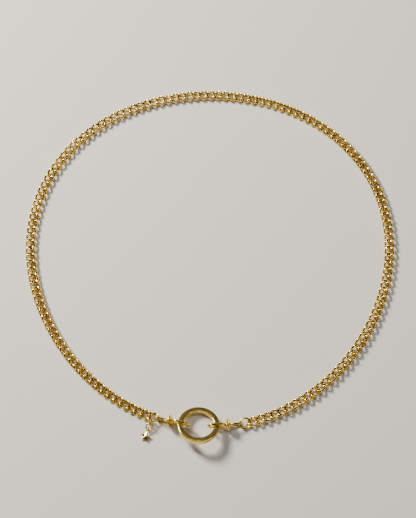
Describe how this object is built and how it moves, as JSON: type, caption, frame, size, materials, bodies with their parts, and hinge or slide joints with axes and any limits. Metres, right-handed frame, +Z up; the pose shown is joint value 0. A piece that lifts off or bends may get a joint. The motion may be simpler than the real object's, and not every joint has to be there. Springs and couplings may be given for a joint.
{
  "type": "chain necklace",
  "caption": "Curb-link chain necklace with a hinged ring clasp between two collared connectors, and a small star charm.",
  "frame": {"origin": "middle of the necklace's outline, on the surface that it lies on", "axes": "+Z up from the surface, +Y towards the back of the neck, +X to the right with the clasp nearest"},
  "size_m": [0.1484, 0.1541, 0.0068],
  "materials": {
    "chain_gold": "polished",
    "connector_gold": "polished",
    "ring_gold": "polished",
    "charm_gold": "polished",
    "spring_steel": "satin"
  },
  "bodies": {
    "chain_back": {"chain_back": "chain_gold"},
    "chain_right_01_to_05": {"chain_right_01": "chain_gold", "chain_right_02": "chain_gold", "chain_right_03": "chain_gold", "chain_right_04": "chain_gold", "chain_right_05": "chain_gold"},
    "chain_right_06_to_11": {"chain_right_06": "chain_gold", "chain_right_07": "chain_gold", "chain_right_08": "chain_gold", "chain_right_09": "chain_gold", "chain_right_10": "chain_gold", "chain_right_11": "chain_gold"},
    "chain_right_12": {"chain_right_12": "chain_gold"},
    "chain_right_13": {"chain_right_13": "chain_gold"},
    "chain_right_14": {"chain_right_14": "chain_gold"},
    "chain_right_15_to_18": {"chain_right_15": "chain_gold", "chain_right_16": "chain_gold", "chain_right_17": "chain_gold", "chain_right_18": "chain_gold"},
    "chain_right_19_to_23": {"chain_right_19": "chain_gold", "chain_right_20": "chain_gold", "chain_right_21": "chain_gold", "chain_right_22": "chain_gold", "chain_right_23": "chain_gold"},
    "right_jump_ring": {"right_jump_ring": "chain_gold"},
    "right_connector": {"right_connector": "connector_gold"},
    "chain_left_01_to_05": {"chain_left_01": "chain_gold", "chain_left_02": "chain_gold", "chain_left_03": "chain_gold", "chain_left_04": "chain_gold", "chain_left_05": "chain_gold"},
    "chain_left_06_to_11": {"chain_left_06": "chain_gold", "chain_left_07": "chain_gold", "chain_left_08": "chain_gold", "chain_left_09": "chain_gold", "chain_left_10": "chain_gold", "chain_left_11": "chain_gold"},
    "chain_left_12": {"chain_left_12": "chain_gold"},
    "chain_left_13": {"chain_left_13": "chain_gold"},
    "chain_left_14": {"chain_left_14": "chain_gold"},
    "chain_left_15_to_18": {"chain_left_15": "chain_gold", "chain_left_16": "chain_gold", "chain_left_17": "chain_gold", "chain_left_18": "chain_gold"},
    "chain_left_19_to_22": {"chain_left_19": "chain_gold", "chain_left_20": "chain_gold", "chain_left_21": "chain_gold", "chain_left_22": "chain_gold"},
    "left_jump_ring": {"left_jump_ring": "chain_gold"},
    "left_connector": {"left_connector": "connector_gold"},
    "ring": {"ring_body": "ring_gold", "gate_hinge_pin": "ring_gold", "gate_spring": "spring_steel"},
    "ring_gate": {"ring_gate": "ring_gold"},
    "charm_link": {"charm_link": "charm_gold"},
    "charm_ring": {"charm_ring": "charm_gold"},
    "star_charm": {"star_charm": "charm_gold"}
  },
  "joints": [
    {"name": "loop_shape", "type": "hinge", "parent": "chain_back", "child": "chain_right_01_to_05", "pos_m": [0.0045, 0.07489, 0.00107], "axis": [0, 0, 1], "range_deg": [-7, 7]},
    {"name": "bend_right_06", "type": "hinge", "parent": "chain_right_01_to_05", "child": "chain_right_06_to_11", "pos_m": [0.04638, 0.06028, 0.00107], "axis": [0, 0, 1], "range_deg": [-7.2, 7.2]},
    {"name": "front_lift", "type": "hinge", "parent": "chain_right_06_to_11", "child": "chain_right_12", "pos_m": [0.07188, 0.0145, 0.00107], "axis": [-1, 0, 0], "range_deg": [0, 25]},
    {"name": "lift_right_13", "type": "hinge", "parent": "chain_right_12", "child": "chain_right_13", "pos_m": [0.0721, 0.00551, 0.00107], "axis": [-1, 0, 0], "range_deg": [0, 25.2]},
    {"name": "lift_right_14", "type": "hinge", "parent": "chain_right_13", "child": "chain_right_14", "pos_m": [0.0712, -0.00344, 0.00107], "axis": [-1, 0, 0], "range_deg": [0, 25.2]},
    {"name": "bend_right_15", "type": "hinge", "parent": "chain_right_14", "child": "chain_right_15_to_18", "pos_m": [0.06924, -0.01222, 0.00107], "axis": [0, 0, 1], "range_deg": [-3.23, 3.23]},
    {"name": "bend_right_19", "type": "hinge", "parent": "chain_right_15_to_18", "child": "chain_right_19_to_23", "pos_m": [0.05233, -0.04368, 0.00107], "axis": [0, 0, 1], "range_deg": [-10.28, 10.28]},
    {"name": "bend_right_jump_ring", "type": "hinge", "parent": "chain_right_19_to_23", "child": "right_jump_ring", "pos_m": [0.0144, -0.06745, 0.00107], "axis": [0, 0, 1], "range_deg": [-3.72, 3.72]},
    {"name": "bend_right_connector", "type": "hinge", "parent": "right_jump_ring", "child": "right_connector", "pos_m": [0.01241, -0.06789, 0.00132], "axis": [0, 0, 1], "range_deg": [-3.72, 3.72]},
    {"name": "bend_left_01", "type": "hinge", "parent": "chain_back", "child": "chain_left_01_to_05", "pos_m": [-0.0045, 0.07489, 0.00107], "axis": [0, 0, -1], "range_deg": [-7.2, 7.2]},
    {"name": "bend_left_06", "type": "hinge", "parent": "chain_left_01_to_05", "child": "chain_left_06_to_11", "pos_m": [-0.04638, 0.06028, 0.00107], "axis": [0, 0, -1], "range_deg": [-7.2, 7.2]},
    {"name": "lift_left_12", "type": "hinge", "parent": "chain_left_06_to_11", "child": "chain_left_12", "pos_m": [-0.07188, 0.0145, 0.00107], "axis": [-1, 0, 0], "range_deg": [0, 25.2]},
    {"name": "lift_left_13", "type": "hinge", "parent": "chain_left_12", "child": "chain_left_13", "pos_m": [-0.0721, 0.00551, 0.00107], "axis": [-1, 0, 0], "range_deg": [0, 25.2]},
    {"name": "lift_left_14", "type": "hinge", "parent": "chain_left_13", "child": "chain_left_14", "pos_m": [-0.0712, -0.00344, 0.00107], "axis": [-1, 0, 0], "range_deg": [0, 25.2]},
    {"name": "bend_left_15", "type": "hinge", "parent": "chain_left_14", "child": "chain_left_15_to_18", "pos_m": [-0.06924, -0.01222, 0.00107], "axis": [0, 0, -1], "range_deg": [-1.59, 1.59]},
    {"name": "bend_left_19", "type": "hinge", "parent": "chain_left_15_to_18", "child": "chain_left_19_to_22", "pos_m": [-0.05233, -0.04368, 0.00107], "axis": [0, 0, -1], "range_deg": [-9.73, 9.73]},
    {"name": "bend_left_jump_ring", "type": "hinge", "parent": "chain_left_19_to_22", "child": "left_jump_ring", "pos_m": [-0.02299, -0.0648, 0.00107], "axis": [0, 0, -1], "range_deg": [-4.27, 4.27]},
    {"name": "bend_left_connector", "type": "hinge", "parent": "left_jump_ring", "child": "left_connector", "pos_m": [-0.02108, -0.06551, 0.00132], "axis": [0, 0, -1], "range_deg": [-4.27, 4.27]},
    {"name": "ring_tilt", "type": "hinge", "parent": "left_connector", "child": "ring", "pos_m": [-0.01141, -0.06808, 0.00324], "axis": [0.9974, -0.0715, 0], "range_deg": [-15, 0]},
    {"name": "gate_swing", "type": "hinge", "parent": "ring", "child": "ring_gate", "pos_m": [0.00234, -0.07056, 0.00372], "axis": [0.0221, 0.3082, 0.9511], "range_deg": [0, 25], "stiffness_Nm_per_rad": 0.004},
    {"name": "charm_link_swing", "type": "hinge", "parent": "left_jump_ring", "child": "charm_link", "pos_m": [-0.0228, -0.0669, 0.00188], "axis": [-0.9316, 0.3424, -0.1219], "range_deg": [0, 45]},
    {"name": "charm_ring_swing", "type": "hinge", "parent": "charm_link", "child": "charm_ring", "pos_m": [-0.02333, -0.06851, 0.00146], "axis": [-0.1836, -0.154, 0.9709], "range_deg": [-20, 20]},
    {"name": "star_swing", "type": "hinge", "parent": "charm_ring", "child": "star_charm", "pos_m": [-0.02385, -0.07004, 0.00112], "axis": [-0.9316, 0.3424, -0.1219], "range_deg": [0, 40]}
  ],
  "couplings": [
    {"joint": "bend_right_06", "follows": "loop_shape", "ratio": -1},
    {"joint": "lift_right_13", "follows": "front_lift", "ratio": 1},
    {"joint": "lift_right_14", "follows": "front_lift", "ratio": 1},
    {"joint": "bend_right_15", "follows": "loop_shape", "ratio": 0.43258},
    {"joint": "bend_right_19", "follows": "loop_shape", "ratio": -1.4394},
    {"joint": "bend_right_jump_ring", "follows": "loop_shape", "ratio": 0.5034},
    {"joint": "bend_right_connector", "follows": "loop_shape", "ratio": 0.5034},
    {"joint": "bend_left_01", "follows": "loop_shape", "ratio": 1},
    {"joint": "bend_left_06", "follows": "loop_shape", "ratio": -1},
    {"joint": "lift_left_12", "follows": "front_lift", "ratio": 1},
    {"joint": "lift_left_13", "follows": "front_lift", "ratio": 1},
    {"joint": "lift_left_14", "follows": "front_lift", "ratio": 1},
    {"joint": "bend_left_15", "follows": "loop_shape", "ratio": 0.19811},
    {"joint": "bend_left_19", "follows": "loop_shape", "ratio": -1.3615},
    {"joint": "bend_left_jump_ring", "follows": "loop_shape", "ratio": 0.58171},
    {"joint": "bend_left_connector", "follows": "loop_shape", "ratio": 0.58171}
  ]
}
